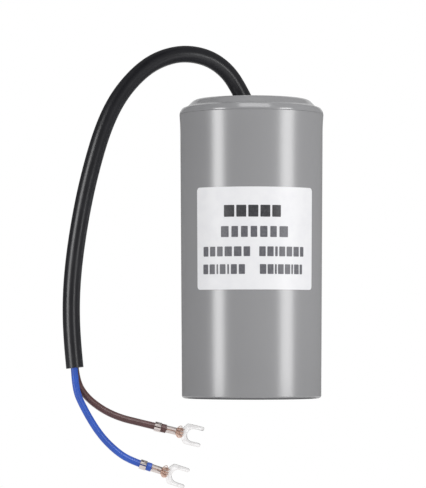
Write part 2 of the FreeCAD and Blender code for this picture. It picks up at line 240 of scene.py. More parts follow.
# %% [markdown]
# The cores are copper wires in coloured plastic, just over two millimetres thick and round. Where a
# terminal grips one, it squeezes the soft plastic out towards the bare wire, and the end bulges.
# The bulge could be a ring of its own. Scaling up the last stretch of the rod keeps it one piece.

# %% Give the cores their section
SWELL = 1.22
SWELL_LENGTH = 0.0019


def swell_end(core, path):
    """Swells the insulation's end, just behind the bare wire."""
    middle = path[-1] - end_way(path) * SWELL_LENGTH / 2
    edit_only(core, "VERT", lambda vertex: (vertex.co - path[-1]).length < SWELL_LENGTH)
    bpy.ops.transform.resize(value=(SWELL, SWELL, SWELL), center_override=middle)
    bpy.ops.object.mode_set(mode="OBJECT")


blue_core = round_rod(blue_core, CORE_RADIUS, 5)
brown_core = round_rod(brown_core, CORE_RADIUS, 5)
swell_end(blue_core, blue_path)
swell_end(brown_core, brown_path)
print("core diameter mm:", round(2 * CORE_RADIUS / MM, 2), "faces:", len(blue_core.data.polygons))

# %% [markdown]
# The can and the lid are round mouldings. Each could be spun from a drawn section. Here each starts
# as a flat circle instead, and its edge is extruded and sized from ring to ring up the outside and
# down the inside, which leaves one closed wall with a real thickness. This gives clean rings of
# faces, so long highlights run up the wall unbroken. The sizes are in millimetres.

# %% Turn a ring of edges into a wall
SIDES = 160


def arc(centre, radius, start, stop, steps):
    """Points round part of a circle, from one angle to another in degrees."""
    angles = [math.radians(start + (stop - start) * i / steps) for i in range(steps + 1)]
    return [(centre[0] + radius * math.cos(a), centre[1] + radius * math.sin(a)) for a in angles]


def turned(name, rings):
    """A closed round wall through rings of (radius, height)."""
    bpy.ops.object.select_all(action="DESELECT")
    radius, height = rings[0]
    bpy.ops.mesh.primitive_circle_add(
        vertices=SIDES, radius=radius * MM, fill_type="TRIFAN", location=(0, 0, height * MM),
    )
    piece = bpy.context.object
    piece.name = piece.data.name = name
    bpy.ops.object.mode_set(mode="EDIT")
    bpy.ops.mesh.select_mode(type="EDGE")
    bpy.ops.mesh.select_all(action="DESELECT")
    bpy.ops.mesh.select_non_manifold(extend=False)
    for (r0, z0), (r1, z1) in zip(rings, rings[1:]):
        bpy.ops.mesh.extrude_region_move(TRANSFORM_OT_translate={"value": (0, 0, (z1 - z0) * MM)})
        share = r1 / r0
        bpy.ops.transform.resize(value=(share, share, 1), center_override=(0, 0, z1 * MM))
    bpy.ops.mesh.extrude_region_move()
    bpy.ops.mesh.merge(type="CENTER")
    bpy.ops.mesh.select_all(action="SELECT")
    bpy.ops.mesh.normals_make_consistent(inside=False)
    bpy.ops.object.mode_set(mode="OBJECT")
    bpy.ops.object.transform_apply(location=True, rotation=True, scale=True)
    smooth(piece)
    print(name, "faces:", len(piece.data.polygons), "sizes mm:", in_mm(piece.dimensions))
    return piece


print("sides round a wall:", SIDES)

# %% [markdown]
# The can is a deep cup. Its wall widens a little towards the top, so that it slides out of its
# mould, and its mouth flares out over the last few millimetres, where the lid is pressed in. The
# bottom edge is rounded. A plain cylinder would miss all three, and they shape the long highlights.

# %% Model the can
BASE_Z = -20.0
BASE_RADIUS = 24.1
BASE_BEND = 1.0
BASE_WALL = 2.0
TOP_RADIUS = 24.7
FLARE_Z = 72.5
SEAM_Z = 78.2
CASE_WALL = 1.8
WALL_HEIGHTS = (-10, 5, 20, 35, 50, 65, 70)
MOUTH_RINGS = [
    (24.7, 72.5), (24.73, 73.9), (24.8, 75.4), (24.89, 76.9), (24.985, 78.1), (24.99, 78.17),
    (24.96, 78.2),
]


def wall_radius(height):
    """Outer radius of the drafted wall at a height."""
    return BASE_RADIUS + (TOP_RADIUS - BASE_RADIUS) * (height - BASE_Z) / (FLARE_Z - BASE_Z)


bend_z = BASE_Z + BASE_BEND
can_rings = arc((wall_radius(bend_z) - BASE_BEND, bend_z), BASE_BEND, -90, 0, 8)
can_rings += [(wall_radius(z), z) for z in WALL_HEIGHTS]
can_rings += MOUTH_RINGS
can_rings += [(TOP_RADIUS - CASE_WALL, SEAM_Z), (TOP_RADIUS - CASE_WALL, FLARE_Z)]
can_rings += [(wall_radius(BASE_Z + BASE_WALL) - CASE_WALL, BASE_Z + BASE_WALL)]
can = turned("can", can_rings)

# %% [markdown]
# The lid is a plug with a shoulder that rests on the can's mouth. From the middle outwards it has a
# slightly crowned disc, a rounded edge, a steep flank with a small fillet at its foot, a land that
# falls outwards, and a rounded shoulder. Under it, a skirt reaches down into the can. The seam
# between the shoulder and the can is left as a fine groove, as the two pressed parts leave it. The
# real lid has a hole for the cable, which a boolean could cut. It isn't cut here: the sheath passes
# through the closed lid and fills the place of the hole, so nothing of it would show.

# %% Model the lid
TOP_Z = 84.0
CROWN_RADIUS = 304.7
CROWN_STEPS = (1.0, 5.0, 9.0, 13.0, 16.0)
EDGE_CENTRE = (18.704, 80.62)
EDGE_RADIUS = 2.8
FOOT_RINGS = [(21.4, 81.885), (22.0, 81.285), (22.14, 81.155), (22.29, 81.06)]
FALL = 20.0
LAND_STEPS = (22.5, 23.2, 23.72)
CREST_RINGS = [(23.80, 80.472), (23.86, 80.438)]
SHOULDER_CENTRE = (21.5, 77.86)
SHOULDER_RADIUS = 3.5
SHOULDER_TOP = (23.842, 80.461)
LIP_RINGS = [(24.965, 78.262), (24.93, 78.25)]
SKIRT_RINGS = [
    (22.85, 78.25), (22.85, 75.2), (21.25, 75.2), (21.25, 79.5), (18.9, 79.5), (18.9, 82.0),
    (1.0, 82.0),
]


def on_crown(radius):
    """A ring on the slightly crowned disc."""
    return (radius, TOP_Z - CROWN_RADIUS + math.sqrt(CROWN_RADIUS ** 2 - radius ** 2))


def on_land(radius):
    """A ring on the land, which falls outwards as a cone."""
    return (radius, SHOULDER_TOP[1] + (SHOULDER_TOP[0] - radius) * math.tan(math.radians(FALL)))


lid_rings = [on_crown(radius) for radius in CROWN_STEPS]
lid_rings += arc(EDGE_CENTRE, EDGE_RADIUS, 86.5, 45, 10)
lid_rings += FOOT_RINGS
lid_rings += [on_land(radius) for radius in LAND_STEPS]
lid_rings += CREST_RINGS
lid_rings += arc(SHOULDER_CENTRE, SHOULDER_RADIUS, 46.5, 7.5, 16)
lid_rings += LIP_RINGS + SKIRT_RINGS
lid = turned("can_lid", lid_rings)

# %% [markdown]
# Thin sheet comes back three times on this object: the paper label, its ink and the metal of the
# terminals. It is always made in the same way. A line of edges is drawn by extruding one vertex, a
# second operator makes a surface of it, and a Solidify modifier gives it the sheet's thickness.

# %% Draw and thicken a sheet
def drawn_line(name, places):
    """A chain of edges, drawn by extruding one vertex from place to place."""
    bpy.ops.object.select_all(action="DESELECT")
    bpy.ops.mesh.primitive_plane_add(size=0.001)
    piece = bpy.context.object
    piece.name = piece.data.name = name
    bpy.ops.object.mode_set(mode="EDIT")
    bpy.ops.mesh.select_mode(type="VERT")
    bpy.ops.mesh.select_all(action="SELECT")
    bpy.ops.mesh.merge(type="CENTER")
    bpy.ops.transform.translate(value=places[0])
    for a, b in zip(places, places[1:]):
        bpy.ops.mesh.extrude_region_move(TRANSFORM_OT_translate={"value": Vector(b) - Vector(a)})
    bpy.ops.object.mode_set(mode="OBJECT")
    return piece


def thicken(piece, thickness, offset, bevel=0.0):
    """Gives a thin sheet its thickness, and rounds the edges that are sharper than 40 degrees."""
    only(piece)
    wall = piece.modifiers.new("wall", "SOLIDIFY")
    wall.thickness = thickness
    wall.offset = offset
    bpy.ops.object.modifier_apply(modifier=wall.name)
    if bevel:
        soft = piece.modifiers.new("soft", "BEVEL")
        soft.width = bevel
        soft.segments = 2
        soft.limit_method = "ANGLE"
        soft.angle_limit = math.radians(40)
        bpy.ops.object.modifier_apply(modifier=soft.name)


print("helpers ready:", [helper.__name__ for helper in (drawn_line, thicken)])

# %% [markdown]
# The label is paper glued round the front of the can. A flat sheet could be bent with a modifier,
# but a slanted edge that is spun about the can's axis lies exactly on the drafted wall. The four
# corners are the only vertices with two edges, and they are rounded while the sheet is thin.

# %% Wrap a patch round the wall
LABEL_TURN = 3.2
STEP_PER_CORNER = 1.05
NARROW_PER_CORNER = 2.2
CORNER_SEGMENTS = 4


def patch_edge(low, high, lift, start):
    """The patch's upright edge, at an angle about the can's axis."""
    edge = []
    for height in (low, high):
        radius = (wall_radius(height) + lift) * MM
        edge.append((radius * math.cos(start), radius * math.sin(start), height * MM))
    return edge


def wrapped_patch(name, low, high, left, right, lift, thickness, corner):
    """A rounded patch on the wall, between two heights and two arc lengths in millimetres."""
    near = wall_radius((low + high) / 2) + lift
    width = right - left
    start = left / near + math.radians(LABEL_TURN - 90)
    steps = 1
    if width > NARROW_PER_CORNER * corner:
        steps = max(1, int(width / (STEP_PER_CORNER * corner)))
    piece = drawn_line(name, patch_edge(low, high, lift, start))
    bpy.ops.object.mode_set(mode="EDIT")
    bpy.ops.mesh.select_all(action="SELECT")
    bpy.ops.mesh.spin(steps=steps, angle=-width / near, center=(0, 0, 0), axis=(0, 0, 1))
    bpy.ops.object.mode_set(mode="OBJECT")
    ends = [index for edge in piece.data.edges for index in edge.vertices]
    edit_only(piece, "VERT", lambda vertex: ends.count(vertex.index) == 2)
    bpy.ops.mesh.bevel(
        affect="VERTICES", offset=corner * MM, offset_type="OFFSET", segments=CORNER_SEGMENTS,
    )
    bpy.ops.mesh.select_all(action="SELECT")
    bpy.ops.mesh.normals_make_consistent(inside=False)
    bpy.ops.object.mode_set(mode="OBJECT")
    middle = piece.data.polygons[len(piece.data.polygons) // 2]
    if middle.normal.xy.dot(middle.center.xy) < 0:
        piece.data.flip_normals()
    thicken(piece, thickness * MM, 1.0)
    smooth(piece)
    return piece


print("label turned from the front by degrees:", LABEL_TURN)

# %% [markdown]
# The sheet reaches almost a third of the way round the can. With its glue it is a tenth of a
# millimetre thick, which is enough for its edge to catch the light.

# %% Make the label
LABEL_LOW = 17.2
LABEL_HIGH = 52.0
LABEL_WIDTH = 45.0
LABEL_LIFT = 0.03
LABEL_THICKNESS = 0.12
LABEL_CORNER = 1.2

label = wrapped_patch(
    "label_sheet", LABEL_LOW, LABEL_HIGH, -LABEL_WIDTH / 2, LABEL_WIDTH / 2,
    LABEL_LIFT, LABEL_THICKNESS, LABEL_CORNER,
)
print("label faces:", len(label.data.polygons), "sizes mm:", in_mm(label.dimensions))

# %% [markdown]
# The label's print is plain: rows of blocks where such a label carries its figures. They could be
# painted by the paper's material. As thin patches of ink on the paper they keep their place and
# edge from every side. A row is given by its middle above the label's foot, its height, where it
# starts, the widths of its blocks and the gap between them.

# %% Print the label
PRINT_ROWS = [
    (26.6, 4.0, -11.3, [3.7, 3.4, 3.4, 3.4, 3.1], 0.7),
    (19.6, 3.7, -12.4, [2.8, 2.3, 2.3, 2.2, 2.5, 2.3, 3.2], 1.0),
    (12.9, 3.3, -19.5, [2.1, 2.1, 2.1, 2.6, 2.6, 2.2], 0.72),
    (12.9, 3.3, 0.9, [2.2, 2.2, 0.9, 2.2, 2.2, 2.3, 1.6], 0.57),
    (6.9, 3.3, -19.6, [2.1, 2.1, 0.6, 2.1, 0.6, 2.1, 2.1], 0.66),
    (6.9, 3.3, 1.1, [2.2, 2.1, 0.7, 2.1, 2.1, 0.7, 2.0, 1.1], 0.45),
]
INK_LIFT = 0.165
INK_THICKNESS = 0.03
INK_CORNER = 0.22


def printed_row(middle, tall, start, widths, gap):
    """The blocks of one row, from left to right."""
    low = LABEL_LOW + middle - tall / 2
    row = []
    left = start
    for width in widths:
        row.append(wrapped_patch(
            "label_marks", low, low + tall, left, left + width, INK_LIFT, INK_THICKNESS, INK_CORNER,
        ))
        left += width + gap
    return row


def joined(name, parts):
    """Joins several parts into one piece."""
    bpy.ops.object.select_all(action="DESELECT")
    for part in parts:
        part.select_set(True)
    bpy.context.view_layer.objects.active = parts[0]
    bpy.ops.object.join()
    piece = bpy.context.object
    piece.name = piece.data.name = name
    return piece


blocks = [block for row in PRINT_ROWS for block in printed_row(*row)]
print("print blocks:", len(blocks))
marks = joined("label_marks", blocks)
print("print faces:", len(marks.data.polygons))

# %% [markdown]
# A fork terminal is stamped from thin tinned sheet. It is drawn flat along X, with the wire on the
# X axis and its front up, and only then moved to the end of its core. Its flat part is one outline:
# a strip under the two crimps, a neck that widens, and two prongs with round tips round a slot.
# Drawing half of it and mirroring the points keeps the two prongs alike.

# %% Draw the flat fork
BACK = -1.15
FORK_HALF = 3.45
FORK_TIP = 16.3
SLOT_HALF = 2.15
SLOT_CENTRE = 13.25
STRIP_START = 0.25
STRIP_HALF = 0.8
BARREL_START = 3.7
BARREL_END = 7.3
BARREL_HALF = 1.1
NECK_END = 8.7
NECK_HALF = 1.3
NECK_STEP = 0.4
STRIP_STEP = 0.35
FORK_CURVE = [(9.15, 1.48), (9.9, 2.45), (10.35, 3.1), (10.65, 3.36), (11.05, FORK_HALF)]


def filled(name, outline):
    """A flat face inside a closed outline."""
    piece = drawn_line(name, outline + outline[:1])
    bpy.ops.object.mode_set(mode="EDIT")
    bpy.ops.mesh.select_all(action="SELECT")
    bpy.ops.mesh.remove_doubles(threshold=TOUCHING)
    bpy.ops.mesh.edge_face_add()
    bpy.ops.mesh.normals_make_consistent(inside=False)
    bpy.ops.object.mode_set(mode="OBJECT")
    return piece


prong_half = (FORK_HALF - SLOT_HALF) / 2
half_outline = [(STRIP_START, STRIP_HALF), (BARREL_START - STRIP_STEP, STRIP_HALF)]
half_outline += [(BARREL_START, BARREL_HALF), (BARREL_END, BARREL_HALF)]
half_outline += [(BARREL_END + NECK_STEP, NECK_HALF), (NECK_END, NECK_HALF)]
half_outline += FORK_CURVE
half_outline += arc((FORK_TIP - prong_half, FORK_HALF - prong_half), prong_half, 90, -90, 8)
half_outline += arc((SLOT_CENTRE, 0), SLOT_HALF, 90, 180, 10)
plate_outline = half_outline + [(x, -y) for x, y in reversed(half_outline[:-1])]
plate_outline = [(x * MM, y * MM, BACK * MM) for x, y in plate_outline]
print("points round the fork:", len(plate_outline))

# %% [markdown]
# Behind the fork, the sheet is folded up on both sides. Two wings curl in on the bare wire and
# meet in a groove, and two longer ones hold the insulation. Each pair is a section that is drawn
# end on, extruded along the wire and thickened, as the real sheet is folded.

# %% Fold the wings
BARREL_WALL = 1.01
BARREL_FLOOR = 0.31
BARREL_SIDE = [(0.55, 0.31), (0.85, 0.4), (BARREL_WALL, 0.66)]
BARREL_STRAIGHT = (-0.1, 0.3)
CURL_CENTRE = (0.6, 0.32)
GRIP_RADIUS = 1.42
GRIP_SEAM = 84


def folded(name, section, start, stop, thickness, bevel):
    """Sheet folded to a section of (across, up) points, between two places along the wire."""
    piece = drawn_line(name, [(start * MM, y * MM, z * MM) for y, z in section])
    bpy.ops.object.mode_set(mode="EDIT")
    bpy.ops.mesh.select_all(action="SELECT")
    bpy.ops.mesh.extrude_region_move(TRANSFORM_OT_translate={"value": ((stop - start) * MM, 0, 0)})
    bpy.ops.mesh.select_all(action="SELECT")
    bpy.ops.mesh.normals_make_consistent(inside=False)
    bpy.ops.object.mode_set(mode="OBJECT")
    thicken(piece, thickness * MM, 0.0, bevel * MM)
    return piece


def both_halves(side):
    """A whole section from the half of it that starts at the middle of the back."""
    return [(-y, z) for y, z in reversed(side[1:])] + side


barrel_side = [(0.0, BACK + BARREL_FLOOR)]
barrel_side += [(across, BACK + rise) for across, rise in BARREL_SIDE]
barrel_side += [(BARREL_WALL, height) for height in BARREL_STRAIGHT]
barrel_side += arc(CURL_CENTRE, BARREL_WALL - CURL_CENTRE[0], 10, 200, 8)
grip_side = arc((0, 0), GRIP_RADIUS, -90, GRIP_SEAM, 14)
print("section points:", len(both_halves(barrel_side)), len(both_halves(grip_side)))

# %% [markdown]
# The tin lies on the faces that were rolled. Where the sheet was cut, the brass under it shows, and
# where it was folded hard, the tin is rubbed thin. The same warm tone is also a painted reflection:
# a dark outline on the cut edges, where rounded edges mirror the dark studio, and a warm glint of
# the copper on the wings. No pattern in space can tell those faces apart, so each face carries a
# number of its own, which the finish later reads as a mask. On the flat fork the cut faces stand
# upright, and on the wings they look along the wire.

# %% Put a terminal together
SHEET = 0.5
SHEET_BEVEL = 0.14
WING_SHEET = 0.38
WING_BEVEL = 0.06
GRIP_END = 2.2
# On the wings: rubbed tin, and a painted warm reflection of the copper.
RUBBED_AND_REFLECTED = 0.42
UPRIGHT_BELOW = 0.9
ALONG_ABOVE = 0.6


def mark_brass_and_painted_reflection(piece, is_cut, rolled):
    """Writes the warm tone's share on each face: fully where cut, less where rolled. It stands for
    bare brass and rubbed tin, and is also a painted reflection: dark edges, warm wings.
    """
    bare = [1.0 if is_cut(face.normal) else rolled for face in piece.data.polygons]
    mask = piece.data.attributes.new("brass_and_painted_reflection", "FLOAT", "FACE")
    mask.data.foreach_set("value", bare)


def make_terminal(name):
    """A whole fork terminal, drawn along X."""
    plate = filled(name, plate_outline)
    backwards = -1.0 if plate.data.polygons[0].normal.z > 0 else 1.0
    thicken(plate, SHEET * MM, backwards, SHEET_BEVEL * MM)
    barrel = folded(
        name, both_halves(barrel_side), BARREL_START, BARREL_END, WING_SHEET, WING_BEVEL,
    )
    grip = folded(name, both_halves(grip_side), 0.0, GRIP_END, WING_SHEET, WING_BEVEL)
    # Cut faces take the full tone: bare brass, and a painted dark outline. The wings take rubbed
    # tin with a painted warm reflection of the copper.
    mark_brass_and_painted_reflection(plate, lambda normal: abs(normal.z) < UPRIGHT_BELOW, 0.0)
    for wings in (barrel, grip):
        mark_brass_and_painted_reflection(wings, lambda normal: abs(normal.x) > ALONG_ABOVE, RUBBED_AND_REFLECTED)
    piece = joined(name, [plate, barrel, grip])
    smooth(piece, 40)
    return piece


blue_fork = make_terminal("blue_fork")
print("terminal faces:", len(blue_fork.data.polygons), "sizes mm:", in_mm(blue_fork.dimensions))

# %% [markdown]
# Both leads end in the same terminal, so it is modelled once and copied, and the copy gets a mesh
# of its own. Each is then turned to lie along the end of its core with its front to the viewer. The
# turn is written into the mesh, so the object itself stays at the origin.

# %% Place the terminals
def copy_of(piece, name):
    """A copy with a mesh of its own."""
    only(piece)
    bpy.ops.object.duplicate()
    copy = bpy.context.object
    copy.name = copy.data.name = name
    return copy


def wire_frame(path):
    """The matrix that carries a terminal from the X axis to the end of a core."""
    along = end_way(path)
    front = (Vector((0, -1, 0)) + along * along.y).normalized()
    side = front.cross(along)
    matrix = Matrix((along, side, front)).transposed().to_4x4()
    matrix.translation = path[-1] - along * (BARREL_START * MM)
    return matrix


def put(piece, matrix):
    """Moves a piece to its place and writes the place into its mesh."""
    piece.matrix_world = matrix
    only(piece)
    bpy.ops.object.transform_apply(location=True, rotation=True, scale=True)


brown_fork = copy_of(blue_fork, "brown_fork")
put(blue_fork, wire_frame(blue_path))
put(brown_fork, wire_frame(brown_path))
for fork in (blue_fork, brown_fork):
    print(fork.name, "sizes mm:", in_mm(fork.dimensions))

# %% [markdown]
# The bare conductor is a bundle of fine copper strands. They lie twisted together in the crimp,
# and splay out in a short brush on the fork. A rough lump would do from afar, but not close to.
# Each strand is a thin curve with its own path, and the paths are worked out from the strand's
# place in the bundle, so they never change.

# %% Lay the strands
STRAND_RADIUS = 0.125
STRAND_RINGS = [(0.0, 1), (0.22, 6), (0.42, 11), (0.58, 6)]
CRIMP_STATIONS = (3.8, 5.0, 6.2, 7.3)
RING_START = 0.3
TWIST = 0.22
SPLAY_TURN = 0.9
SPREAD = (0.3, 2.6)
RISE = (0.15, 1.1)
BRUSH_TIP = 10.3
WOBBLE_TURN = 2.4
WOBBLE = (0.8, 0.25, 0.1)


def in_crimp(ring, turn):
    """The twisted part of a strand."""
    path = []
    for along in CRIMP_STATIONS:
        angle = turn + TWIST * (along - CRIMP_STATIONS[0])
        path.append((along, ring * math.cos(angle), ring * math.sin(angle)))
    return path


def in_brush(ring, turn, wobble):
    """The splayed part of a strand, which swells out, droops onto the fork and closes again.

    SPREAD and RISE each hold a start and what a ring's radius adds. WOBBLE holds how far a strand
    strays along, across and up.
    """
    angle = turn + SPLAY_TURN
    spread = math.cos(angle) * (SPREAD[0] + ring * SPREAD[1]) + WOBBLE[1] * wobble
    rise = math.sin(angle) * (RISE[0] + ring * RISE[1])
    tip = BRUSH_TIP - ring - WOBBLE[0] * abs(wobble)
    return [
        (7.8, spread * 0.85, rise - 0.05),
        (8.9, spread * 1.2, rise * 1.1 - 0.2),
        (tip, spread * 0.8, rise * 0.7 - 0.5 + WOBBLE[2] * wobble),
    ]


def strand_paths():
    """Where each strand runs, along X, from inside the crimp to the tip of the brush."""
    paths = []
    for ring, number in STRAND_RINGS:
        for i in range(number):
            turn = 2 * math.pi * (i + RING_START) / number
            wobble = math.sin((len(paths) + 1) * WOBBLE_TURN)
            path = in_crimp(ring, turn) + in_brush(ring, turn, wobble)
            paths.append([(x, y, max(z, BACK + STRAND_RADIUS)) for x, y, z in path])
    return paths


print("strands:", len(strand_paths()))

# %% [markdown]
# A thin bevel turns the paths into wires. They have few sides each, because there are two dozen of
# them, each an eighth of a millimetre in radius. The second bundle is a copy, like its terminal.

# %% Make the bundles
def make_strands(name):
    """One bundle of strands, drawn along X."""
    curve = bpy.data.curves.new(name, "CURVE")
    curve.dimensions = "3D"
    curve.resolution_u = 3
    for path in strand_paths():
        add_spline(curve, [[c * MM for c in place] for place in path])
    curve.bevel_depth = STRAND_RADIUS * MM
    curve.bevel_resolution = 1
    curve.use_fill_caps = True
    bundle = bpy.data.objects.new(name, curve)
    scene.collection.objects.link(bundle)
    only(bundle)
    bpy.ops.object.convert(target="MESH")
    bundle = bpy.context.object
    smooth(bundle, 50)
    return bundle


blue_brush = make_strands("blue_brush")
brown_brush = copy_of(blue_brush, "brown_brush")
put(blue_brush, wire_frame(blue_path))
put(brown_brush, wire_frame(brown_path))
print("strand faces:", len(blue_brush.data.polygons))

# %% [markdown]
# Every new piece rides on the part's only body and takes the place of one CAD node. The two cores
# leave the sheath's cut end and carry a terminal each.

# %% Tie the pieces to the model
STANDS_FOR = [
    (can, "case", "case_plastic"),
    (lid, "lid", "case_plastic"),
    (label, "label", "label_paper"),
    (marks, "label_print", "label_ink"),
    (sheath, "cable_sheath", "sheath_plastic"),
    (blue_core, "blue_core", "blue_insulation"),
    (brown_core, "brown_core", "brown_insulation"),
    (blue_fork, "blue_terminal", "tinned_brass"),
    (brown_fork, "brown_terminal", "tinned_brass"),
    (blue_brush, "blue_strands", "copper"),
    (brown_brush, "brown_strands", "copper"),
]
for piece, node, slot in STANDS_FOR:
    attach(piece, "root")
    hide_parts(node)

print("pieces:", len(STANDS_FOR))

# %% [markdown]
# No real surface is the same all over: plastic is a little cloudy, paper is mottled, metal is
# stained. All of these share one effect, a soft noise that can be stretched along each axis. It is
# a node group that reads the piece's own coordinates and puts out a mask from 0 to 1, and every
# finish places it at its own scale.

# %% Build the cloudy mask
def new_group(name, inputs):
    """An empty node group with inputs of (name, kind, value) and one output, the mask."""
    tree = bpy.data.node_groups.new(name, "ShaderNodeTree")
    for title, kind, value in inputs:
        socket = tree.interface.new_socket(title, in_out="INPUT", socket_type=kind)
        socket.default_value = value
    tree.interface.new_socket("Mask", in_out="OUTPUT", socket_type="NodeSocketFloat")
    return tree, tree.nodes.new("NodeGroupInput"), tree.nodes.new("NodeGroupOutput")


def cloudy_group():
    """Cloudy variation that can be stretched along each axis."""
    tree, given, made = new_group("cloudy_mask", [
        ("Stretch", "NodeSocketVector", (1, 1, 1)), ("Scale", "NodeSocketFloat", 100.0),
        ("Detail", "NodeSocketFloat", 3.0), ("Low", "NodeSocketFloat", 0.35),
        ("High", "NodeSocketFloat", 0.65),
    ])
    where = tree.nodes.new("ShaderNodeTexCoord")
    stretch = tree.nodes.new("ShaderNodeVectorMath")
    stretch.operation = "MULTIPLY"
    noise = tree.nodes.new("ShaderNodeTexNoise")
    spread = tree.nodes.new("ShaderNodeMapRange")
    spread.interpolation_type = "SMOOTHSTEP"
    link = tree.links.new
    link(where.outputs["Object"], stretch.inputs[0])
    link(given.outputs["Stretch"], stretch.inputs[1])
    link(stretch.outputs[0], noise.inputs["Vector"])
    link(given.outputs["Scale"], noise.inputs["Scale"])
    link(given.outputs["Detail"], noise.inputs["Detail"])
    link(noise.outputs["Fac"], spread.inputs["Value"])
    link(given.outputs["Low"], spread.inputs["From Min"])
    link(given.outputs["High"], spread.inputs["From Max"])
    link(spread.outputs["Result"], made.inputs["Mask"])
    return tree


CLOUDY = cloudy_group()
print("node group:", CLOUDY.name)

# %% [markdown]
# Every finish is made by the same steps: a coarse mask varies the colour between two tones and the
# roughness between two values, and a fine one is pressed into the surface as a bump. What is the
# same all over a piece, such as how metallic it is, is set on the shader itself. Tones are written
# as screen colours, because those can be compared with what the eye sees.

# %% Mix a finish
EVEN = (1, 1, 1)


def srgb(r, g, b):
    """Linear colour of a screen colour with channels from 0 to 255."""
    shares = [channel / 255 for channel in (r, g, b)]
    return tuple(s / 12.92 if s < 0.04045 else ((s + 0.055) / 1.055) ** 2.4 for s in shares)


def place_mask(nodes, stretch, scale, low, high):
    """One cloudy mask with its own values."""
    mask = nodes.new("ShaderNodeGroup")
    mask.node_tree = CLOUDY
    mask.inputs["Stretch"].default_value = stretch
    mask.inputs["Scale"].default_value = scale
    mask.inputs["Low"].default_value = low
    mask.inputs["High"].default_value = high
    return mask.outputs["Mask"]


def finish_material(name, tones, rough, coarse, fine, bump, metallic=0.0, ior=None):
    """A finish with two tones, a range of roughness and a fine bump.

    coarse and fine are (stretch, scale, low, high) of a mask. bump is its strength and depth.
    """
    material = bpy.data.materials.new(name)
    material.use_nodes = True
    nodes = material.node_tree.nodes
    link = material.node_tree.links.new
    shader = nodes["Principled BSDF"]
    shader.inputs["Metallic"].default_value = metallic
    if ior:
        shader.inputs["IOR"].default_value = ior
    clouds = place_mask(nodes, *coarse)
    colour = nodes.new("ShaderNodeMix")
    colour.data_type = "RGBA"
    colour.inputs["A"].default_value = (*tones[0], 1)
    colour.inputs["B"].default_value = (*tones[1], 1)
    link(clouds, colour.inputs["Factor"])
    link(colour.outputs["Result"], shader.inputs["Base Color"])
    gloss = nodes.new("ShaderNodeMapRange")
    gloss.inputs["To Min"].default_value = rough[0]
    gloss.inputs["To Max"].default_value = rough[1]
    link(clouds, gloss.inputs["Value"])
    link(gloss.outputs["Result"], shader.inputs["Roughness"])
    press = nodes.new("ShaderNodeBump")
    press.inputs["Strength"].default_value = bump[0]
    press.inputs["Distance"].default_value = bump[1]
    link(place_mask(nodes, *fine), press.inputs["Height"])
    link(press.outputs["Normal"], shader.inputs["Normal"])
    return material


print("finish maker ready:", finish_material.__name__)

# %% [markdown]
# The can and the lid are grey plastic with a lacquered gloss, smooth on the lid and a touch duller
# on the wall. Faint clouds are drawn out upwards on the wall, as the plastic rose in its mould. The
# refractive index is higher than a plain plastic's, so that modest lamps already draw the bright
# highlights.

# %% Finish the can
LACQUER_IOR = 1.9
LACQUER_TONES = (srgb(149, 149, 151), srgb(152, 152, 154))

case_grey = finish_material(
    "case_grey", LACQUER_TONES, (0.25, 0.27),
    ((1, 1, 0.35), 45, 0.2, 0.8), (EVEN, 2400, 0.2, 0.8), (0.04, 0.00002), ior=LACQUER_IOR,
)
lid_grey = finish_material(
    "lid_grey", LACQUER_TONES, (0.14, 0.17),
    (EVEN, 45, 0.2, 0.8), (EVEN, 2400, 0.2, 0.8), (0.03, 0.00002), ior=LACQUER_IOR,
)
print("finishes:", case_grey.name, lid_grey.name)

# %% [markdown]
# The label is white coated paper with a fine tooth. Its ink is a dark grey, nearly black in the
# large first row, and thinner in the small rows below, where the paper shines through.

# %% Finish the label
INK_GRAIN = [(EVEN, 1500, 0.3, 0.8), (EVEN, 5200, 0.2, 0.8), (0.1, 0.00002)]

paper = finish_material(
    "paper", (srgb(243, 243, 245), srgb(238, 238, 241)), (0.42, 0.5),
    (EVEN, 240, 0.3, 0.8), (EVEN, 5200, 0.2, 0.8), (0.10, 0.00003),
)
ink = finish_material("ink", (srgb(52, 52, 56), srgb(72, 72, 76)), (0.35, 0.5), *INK_GRAIN)
ink_light = finish_material(
    "ink_light", (srgb(92, 92, 98), srgb(112, 112, 118)), (0.35, 0.5), *INK_GRAIN,
)
print("finishes:", paper.name, ink.name, ink_light.name)

# %% [markdown]
# The sheath and the cores are soft plastic, drawn through a die. It has a satin gloss, and a grain
# so fine that it only breaks up the highlights.

# %% Finish the cable
VINYL_GRAIN = [(EVEN, 300, 0.2, 0.8), (EVEN, 1600, 0.2, 0.8), (0.08, 0.00003)]

sheath_black = finish_material(
    "sheath_black", (srgb(24, 24, 29), srgb(29, 29, 34)), (0.29, 0.33),
    (EVEN, 160, 0.2, 0.8), (EVEN, 900, 0.2, 0.8), (0.05, 0.00004),
)
blue_vinyl = finish_material(
    "blue_vinyl", (srgb(38, 89, 194), srgb(32, 79, 180)), (0.32, 0.38), *VINYL_GRAIN,
)
brown_vinyl = finish_material(
    "brown_vinyl", (srgb(94, 61, 61), srgb(84, 53, 52)), (0.32, 0.38), *VINYL_GRAIN,
)
print("finishes:", sheath_black.name, blue_vinyl.name, brown_vinyl.name)

# %% [markdown]
# The terminals are tinned brass, bright and nearly white. Over it goes a warm tone, where the
# number that each face carries says so: bare brass and rubbed tin, and also a painted reflection,
# dark on the cut edges and warm on the wings. The strands are bare copper, bright with a few duller
# clouds, where they have begun to tarnish.

# %% Finish the terminals and the strands
def tint_over(material, mask, tone):
    """Lays one more tone over a finish's colour, where a mask is high."""
    nodes = material.node_tree.nodes
    link = material.node_tree.links.new
    base = nodes["Principled BSDF"].inputs["Base Color"]
    below = base.links[0].from_socket
    tint = nodes.new("ShaderNodeMix")
    tint.data_type = "RGBA"
    tint.inputs["B"].default_value = (*tone, 1)
    link(mask, tint.inputs["Factor"])
    link(below, tint.inputs["A"])
    link(tint.outputs["Result"], base)


